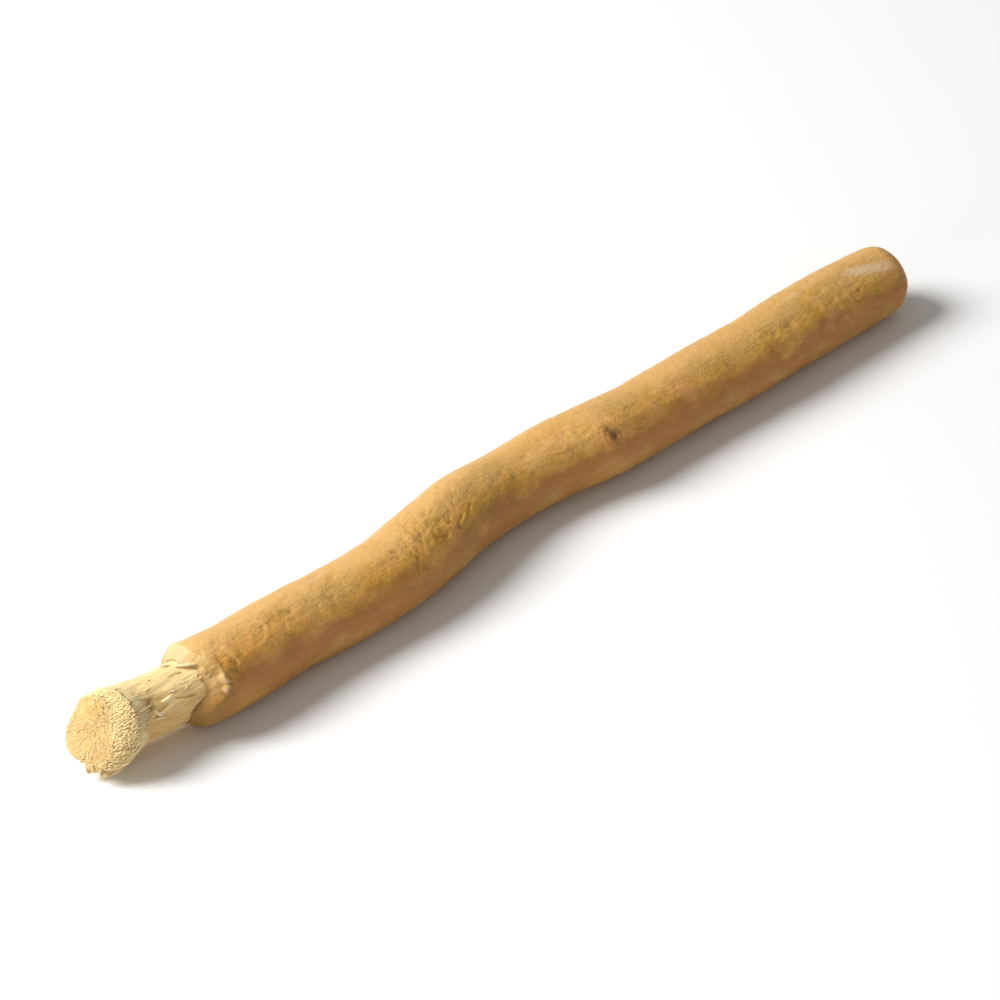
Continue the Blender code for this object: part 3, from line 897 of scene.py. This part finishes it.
CURLS = (
    (-73.2, 139, -72.7, 153, 0.4, 0.45, 0.45),
    (-72.6, 157, -73.8, 166, 0.5, 0.5, 0.35),
    (-74.4, 146, -75.2, 158, 0.2, 0.4, 0.12),
)

# A wrinkle curved round a place: along, turn and reach. Then the knot, the most crumpled bend, and the turns
# round which the bark at its mouth gets a painted highlight on its lit upper side, and painted shade on its
# lower near side
CURVED_WRINKLE = (-64.0 * MM, 107 * DEGREE, 2.9 * MM)
KNOT = (20.2 * MM, 140.5 * DEGREE)
BEND_X, BEND_REACH = -23 * MM, 9 * MM
MOUTH_HIGHLIGHT_TOWARD = 68 * DEGREE
MOUTH_SHADE_TOWARD = 194 * DEGREE

# Scuffs: along in mm, turn in degrees, half the length and half the width in mm, climb and strength
SCUFFS = (
    (89.4, 110, 5.2, 1.15, 0.27, 1),
    (71.5, 84, 2.2, 0.7, 0.1, 0.35),
    (-47, 78, 3.4, 0.8, -0.12, 0.35),
    (38, 250, 4.5, 1.2, 0.1, 0.7),
    (-12, 318, 3.6, 1, -0.15, 0.6),
    (56, 12, 3.2, 0.9, 0.12, 0.6),
)


def patch(along, turn, middle, toward, half_length, half_width, slope):
    """1 in the middle of a long oval patch that climbs round the stick by the slope: two flat bells."""
    x, y = away_from(along, turn, middle * MM, toward * DEGREE)
    return bell(x, half_length * MM, 4) * bell(y - slope * x, half_width * MM, 4)


def knot_star(along, turn):
    """The distance to the knot's middle, and to its pit: the lesser of a star's and of a round blob's."""
    x, y = away_from(along, turn, *KNOT)
    toward = np.arctan2(y, x)
    star = 1 + 0.16 * np.cos(3 * toward + 0.9) + 0.12 * np.cos(5 * toward - 0.4)
    beside = np.hypot(x + 0.5 * MM, 0.8 * y + 1.1 * MM)
    return np.hypot(x, y), np.minimum(np.hypot(x, 0.9 * y) / star, 1.3 * beside)


def crumpled(along, turn):
    """Where the bark is crumpled, 0 to 1: patches over a finger's width long, and all of the bend."""
    bend = bell(along - BEND_X, BEND_REACH, 4)
    return rounded(0.40 + 0.45 * bend + 0.9 * layered(along, turn, 14 * MM, 5, seed=211, layers=2))


def bark_relief(along, turn):
    """Height over the bark's even surface: swellings, less creases, pits and wrinkles, plus curls and knot.

    Scuffs level it. The knot is a low mound with a star-shaped pit in its middle and faint rings around it.
    """
    rough = crumpled(along, turn) * (0.45 + 0.55 * bell(turn_between(turn, 125 * DEGREE), 0.6))
    height = 0 * rough
    for depth, more, cell, number, seed, layers in SWELLINGS:
        height += (depth + more * rough) * layered(along, turn, cell * MM, number, seed, layers)
    for depth, more, cell, number, seed, width, drift in CREASES:
        lines = creases(along, turn + drift * along, cell * MM, number, seed, width)
        height -= (depth + more * rough) * lines
    draw = np.random.default_rng(251)
    for _ in range(PITS):
        x, y = away_from(along, turn, draw.uniform(-74, 97) * MM, draw.uniform(0, 2 * math.pi))
        size, depth = draw.uniform(0.22, 0.55) * MM, draw.uniform(0.06, 0.20)
        height -= depth * bell(x, 1.3 * size) * bell(y, size)
    for row in WRINKLES:
        height -= WRINKLE_STRENGTH * row[-1] * wrinkle(along, turn, row)
    for row in CURLS:
        height += row[-1] * wrinkle(along, turn, row)
    middle, toward, reach = CURVED_WRINKLE
    x, y = away_from(along, turn, middle, toward)
    arc = rounded((2.2 - np.abs(np.arctan2(y, x))) / 0.5)
    from_arc = (np.hypot(x, y) - reach) / MM
    height += arc * (0.11 * bell(from_arc, 0.28) - 0.10 * bell(from_arc + 0.5, 0.3))
    for *oval, strength in SCUFFS:
        share = strength * patch(along, turn, *oval)
        height = height * (1 - 0.95 * share) - 0.05 * share
    distance, star = knot_star(along, turn)
    height += 0.45 * bell(distance, 5 * MM) - 0.17 * bell(star, 1.0 * MM)
    height += 0.07 * np.cos(distance / (0.17 * MM)) * bell(distance, 2.6 * MM)
    return height * MM


def bore_radius(along):
    """The inside of the bark, which hugs the wood."""
    return wood_radius(along) + BARK_GAP


fine = np.linspace(BARK_LIP_X, CUT_END_X - END_ROUNDING, 6000)
spacing = np.full(fine.shape, RING_SPACING)
for start, end, close in CLOSE_RINGS:
    spacing[(fine > start * MM) & (fine < end * MM)] = close * MM
rings_so_far = np.concatenate(([0], np.cumsum(np.diff(fine) / spacing[1:])))
outer_along = np.interp(np.linspace(0, rings_so_far[-1], int(rings_so_far[-1])), rings_so_far, fine)
dome_edge = bark_radius(fine[-1])
dome_drop = dome_edge - (core + BARK_GAP + 0.12 * MM)
dome_radius = dome_edge - dome_drop * np.linspace(0, 1, 20)[1:] ** 1.6
inner_along = np.concatenate(
    (
        [end_reach(core + BARK_GAP) - 0.25 * MM],
        np.linspace(CUT_END_X - END_ROUNDING, -66 * MM, 16),
        np.linspace(-70, -76.9, 10) * MM,
    )
)
along = np.concatenate((outer_along, end_reach(dome_radius), inner_along))[:, None]
radius = np.concatenate((bark_radius(outer_along), dome_radius, bore_radius(inner_along)))[:, None]
outside = (np.arange(len(along)) < len(outer_along) + len(dome_radius))[:, None]
turn = np.linspace(0, 2 * math.pi, BARK_AROUND, endpoint=False)[None, :]
up_the_bevel = (along - BARK_LIP_X) / (MM * by_turn(MOUTH, 2, turn))
lip = bore_radius(along) + MM * np.maximum(by_turn(MOUTH, 3, turn), 0.06)
radius = np.where(outside, lip + (radius - lip) * rounded(up_the_bevel), radius)

near_mouth = 1 - rounded((along - BARK_LIP_X) / MOUTH_REACH)
at_lip = 1 - rounded((along - BARK_LIP_X) / (2.4 * MM))
ragged = 0.28 * MM * layered(np.zeros_like(turn), turn, 3 * MM, 26, seed=257)
edge_shift = mouth_edge(turn) * near_mouth + ragged * at_lip
grown_along = along - edge_shift
clear_of_edge = 0.3 + 0.7 * rounded((along - BARK_LIP_X) / (1.4 * MM))
fade_at_end = rounded((end_reach(core) - along) / (1.0 * MM))
relief = bark_relief(grown_along, turn) * outside * clear_of_edge * fade_at_end
points = grown(grown_along, radius + relief, turn)
points[..., 2] = np.maximum(points[..., 2], 0)
from_mouth = (along - BARK_LIP_X) / MM + 0.9 * layered(along, turn, 3 * MM, 12, seed=263)
pale_to = up_the_bevel - 0.65 + 0.30 * layered(along, turn, 1.6 * MM, 22, seed=269)
pale_bevel = np.clip(1 - by_turn(MOUTH, 4, turn), 0, 1) * (1 - rounded(pale_to / 0.6))
pale_lip = bell(up_the_bevel * by_turn(MOUTH, 2, turn), 0.35) * bell(turn_between(turn, 1.75), 0.4)
distance, star = knot_star(grown_along, turn)
rough = crumpled(grown_along, turn)
# A painted highlight on the crumpled ridges, away from the knot
ridge_highlight = np.clip(relief / (0.22 * MM), 0, 1) * rough * (1 - bell(distance, 4.5 * MM))
# A painted highlight near the mouth on its lit upper side
mouth_highlight = (1 - rounded((from_mouth - 1.0) / 8.0)) * rounded(3.1 * np.cos(turn - MOUTH_HIGHLIGHT_TOWARD) - 1.7)
scuffed = sum(strength * patch(grown_along, turn, *oval) for *oval, strength in SCUFFS)
tones = {
    # hollow: how deep a crease is, which darkens it with painted shade
    "hollow": np.clip(0.25 - relief / (0.30 * MM), 0, 1),
    # ridge_highlight: a painted highlight on the crumpled ridges
    "ridge_highlight": ridge_highlight,
    # mouth_highlight: a painted highlight near the mouth
    "mouth_highlight": mouth_highlight,
    "curl": sum(row[-1] / 0.5 * wrinkle(grown_along, turn, row) for row in CURLS),
    "knot": 0.55 * bell(star, 0.9 * MM) + 0.4 * bell(distance, 1.7 * MM),
    "scuff": np.clip(scuffed, 0, 1),
    "rough": rough,
}
tones = {tone: value * outside for tone, value in tones.items()}
tones["cut"] = np.where(outside, np.clip(pale_bevel + pale_lip, 0, 1), 1.0)
# mouth_shade: painted shade on the mouth's lower near side
tones["mouth_shade"] = bell(turn_between(turn, MOUTH_SHADE_TOWARD), 0.68, 4) * (1 - rounded(from_mouth / 7.0))
# faces_light: 1 toward the light and -1 away from it, for painted light and shade round the stick
tones["faces_light"] = np.cos(turn - LIGHT_SIDE_TOWARD) + 0.35 * layered(along, turn, 9 * MM, 7, seed=271)
straight = straight_places(along, bark_radius(np.minimum(along, fine[-1])), turn)
bark = skin("bark_skin", points, "ring to ring", straight, tones)

BARK_GOLDEN = (0.75, 0.395, 0.064)
BARK_PEACH = (0.84, 0.41, 0.115)
BARK_MUSTARD = (0.62, 0.335, 0.038)
# Painted light toward the lamp, painted shade away from it, and painted table bounce underneath
BARK_PAINTED_LIGHT = (0.67, 0.40, 0.142)
BARK_PAINTED_SHADE = (0.37, 0.118, 0.012)
BARK_PAINTED_BOUNCE = (0.58, 0.34, 0.085)
BARK_BROWN = (0.34, 0.15, 0.022)
# Pale gold: the bast's own colour, and a painted highlight on ridges and at the mouth's lit side
BARK_PALE_GOLD_AND_HIGHLIGHT = (0.88, 0.54, 0.20)
# Painted shade on the mouth's lower near side
BARK_MOUTH_SHADE = (0.26, 0.14, 0.02)
BARK_INNER = (0.34, 0.215, 0.055)
BARK_INNER_PALE = (0.52, 0.355, 0.145)
BARK_LIP = (0.54, 0.42, 0.20)
BARK_SCUFFED = (0.80, 0.56, 0.33)
BARK_CURL = (0.62, 0.43, 0.20)
BARK_KNOT = (0.15, 0.06, 0.014)

# Crumple: the narrow winding lines where noise passes through its middle
crumple, noise, share = noise_effect("crumple", 1, 3.0, 0.5, 0.8)
from_middle = reckoned(crumple, "ABSOLUTE", reckoned(crumple, "SUBTRACT", noise, 0.5))
crumple.links.new(carried(crumple, from_middle, 0.07, 0.0), share)

bark_finish, tree, shader = new_finish("golden_bark", roughness=0.52, specular=0.5)
mustard = scaled(tree, effect(tree, blotches, 3.2 * MM), 0.55)
mustard = reckoned(tree, "ADD", mustard, scaled(tree, "rough", 0.30))
# Brown specks and crumple lines fade out toward the light: painted light on that side
marked = carried(tree, "faces_light", 1.0, 0.45, 0.20)
speckle = scaled(tree, effect(tree, blotches, 0.8 * MM), marked)
fine_lines = effect(tree, crumple, 1.3 * MM)
inner = between(tree, effect(tree, blotches, 1.1 * MM), BARK_INNER, BARK_INNER_PALE)
colour = painted(
    tree,
    BARK_GOLDEN,
    (effect(tree, blotches, 7.0 * MM), BARK_PEACH),
    (mustard, BARK_MUSTARD),
    # Painted light on the lit side, painted shade on the far side, painted table bounce underneath
    (carried(tree, "faces_light", 0.0, 0.9, 0.75), BARK_PAINTED_LIGHT),
    (carried(tree, "faces_light", 0.15, -0.35, 0.72), BARK_PAINTED_SHADE),
    (carried(tree, "faces_light", -0.60, -1.0, 0.6), BARK_PAINTED_BOUNCE),
    (speckle, BARK_BROWN),
    (scaled(tree, fine_lines, marked), BARK_BROWN),
    # Painted highlight near the mouth on its lit upper side, painted shade on its lower near side
    (scaled(tree, "mouth_highlight", 0.75), BARK_PALE_GOLD_AND_HIGHLIGHT),
    (scaled(tree, "mouth_shade", 0.9), BARK_MOUTH_SHADE),
    # The cut bevel, painted lighter where the mouth's painted highlight falls
    ("cut", between(tree, "mouth_highlight", inner, BARK_LIP)),
    # Painted shade in the creases
    (carried(tree, "hollow", 0.4, 1.0, 0.6), BARK_BROWN),
    # Painted highlight on the ridges
    (carried(tree, "ridge_highlight", 0.0, 1.0, 0.45), BARK_PALE_GOLD_AND_HIGHLIGHT),
    (carried(tree, "curl", 0.15, 0.85, 0.9), BARK_CURL),
    (scaled(tree, "scuff", 0.8), BARK_SCUFFED),
    ("knot", BARK_KNOT),
)
height = reckoned(tree, "ADD", scaled(tree, fine_lines, -0.4), effect(tree, blotches, 0.55 * MM))
height = reckoned(tree, "ADD", height, effect(tree, streaks, 0.45 * MM))
colour_and_bump(tree, shader, colour, height, 0.035 * MM)
bark.data.materials.append(bark_finish)
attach(bark, "root")
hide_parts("bark")

# Torn bast at the mouth of the bark
# The soft inner bark did not cut cleanly. It left a low, broad flap over the top of the neck, and short
# frayed strips all round the edge, each fast under the bark.

# In mm and degrees: along and turn of root and tip, the level of each over the bore, rise, bow, half width
# and half thickness, and then whiteness
BAST_STRIPS = (
    (-73.8, 108, -78.2, 83, 0.9, 0.12, 0.1, 0.4, 1, 0.18, 0.7),
    (-75, 128, -77, 131, 0.2, 0.1, 0.1, 0.2, 0.44, 0.12, 0.2),
    (-77.7, 68, -79.8, 64, 0.1, 0.1, 0.2, 0.2, 0.4, 0.1, 0.2),
    (-78.6, 215, -80.9, 211, 0.1, 0.1, 0.3, 0.2, 0.42, 0.12, 0.3),
    (-78.2, 252, -80, 258, 0.1, 0.1, 0.3, 0.2, 0.46, 0.12, 0.1),
    (-77.2, 292, -79.4, 288, 0.2, 0.1, 0.4, 0.2, 0.44, 0.14, 0.3),
    (-77, 330, -79.2, 335, 0.2, 0.1, 0.3, -0.2, 0.5, 0.14, 0.2),
    (-77.3, 12, -79, 9, 0.2, 0.1, 0.3, 0.2, 0.42, 0.12, 0.4),
)
strips = [
    (a, t, b, u, bore_radius(a) + low, bore_radius(b) + high, 0.3 * MM, rise, bow, broad, thin)
    for a, t, b, u, low, high, rise, bow, broad, thin, _ in map(measured, BAST_STRIPS)
]
whiteness = np.array([strip[-1] for strip in BAST_STRIPS])
torn_bast = lying_strips("torn_bast", strips, whiteness)

BAST_WHITE = (0.92, 0.73, 0.40)

bast_finish, tree, shader = new_finish("inner_bark", roughness=0.7, specular=0.3)
colour = between(tree, effect(tree, streaks, 0.3 * MM), BARK_INNER_PALE, BARK_PALE_GOLD_AND_HIGHLIGHT)
colour = between(tree, carried(tree, "tone", 0.2, 1.0), colour, BAST_WHITE)
colour_and_bump(tree, shader, colour, effect(tree, streaks, 0.2 * MM), 0.04 * MM)
torn_bast.data.materials.append(bast_finish)
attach(torn_bast, "root")

# The table, the light and the camera
# A plain pale table with a soft light high on the far left, a weak one low by the brush, and white all round.
# The camera looks down along the stick from the brush's side, as far away and as high as the photograph's.

TABLE_HALF = 1.5
TABLE_WHITE = 0.93
ROOM_COLOUR = (1.0, 0.96, 0.91, 1)
ROOM_STRENGTH = 0.27
LIGHT_AWAY = 1.2

scene = bpy.context.scene
scene.view_settings.view_transform = "Standard"
corners = [(x * TABLE_HALF, y * TABLE_HALF, 0) for x, y in ((-1, -1), (1, -1), (1, 1), (-1, 1))]
table = bpy.data.meshes.new("table_top")
table.from_pydata(corners, [], [(0, 1, 2, 3)])
table_top = bpy.data.objects.new("table_top", table)
scene.collection.objects.link(table_top)
table_finish, tree, shader = new_finish("pale_table", roughness=0.9, specular=0.1)
shader.inputs["Base Color"].default_value = (TABLE_WHITE, TABLE_WHITE, TABLE_WHITE, 1)
table.materials.append(table_finish)

world = bpy.data.worlds.new("white_room")
world.use_nodes = True
world.node_tree.nodes["Background"].inputs["Color"].default_value = ROOM_COLOUR
world.node_tree.nodes["Background"].inputs["Strength"].default_value = ROOM_STRENGTH
scene.world = world


def soft_lamp(name, toward, width, watts):
    """A round, soft lamp that stands this way from the middle of the stick and faces it."""
    lamp = bpy.data.lights.new(name, "AREA")
    lamp.shape = "DISK"
    lamp.size = width
    lamp.energy = watts
    standing = bpy.data.objects.new(name, lamp)
    standing.location = np.array(toward) / np.linalg.norm(toward) * LIGHT_AWAY
    standing.rotation_euler = Vector(toward).to_track_quat("Z", "Y").to_euler()
    scene.collection.objects.link(standing)


soft_lamp("soft_light", (-0.58, 0.46, 0.67), 0.7, 20.5)
soft_lamp("soft_fill", (-0.96, -0.20, 0.20), 0.5, 2.0)

CAMERA_AZIMUTH = -43.95 * DEGREE
CAMERA_ELEVATION = 37.2 * DEGREE
CAMERA_AWAY = 0.8
CAMERA_LENS = 165.6
LOOKED_AT = Vector((-2.9, -0.04, 7.0)) * MM
toward_camera = Vector(
    (
        math.sin(CAMERA_AZIMUTH) * math.cos(CAMERA_ELEVATION),
        -math.cos(CAMERA_AZIMUTH) * math.cos(CAMERA_ELEVATION),
        math.sin(CAMERA_ELEVATION),
    )
)
camera = bpy.data.objects.new("camera", bpy.data.cameras.new("camera"))
camera.data.lens = CAMERA_LENS
camera.data.sensor_width = 36.0
camera.location = LOOKED_AT + toward_camera * CAMERA_AWAY
camera.rotation_euler = toward_camera.to_track_quat("Z", "Y").to_euler()
scene.collection.objects.link(camera)
scene.camera = camera
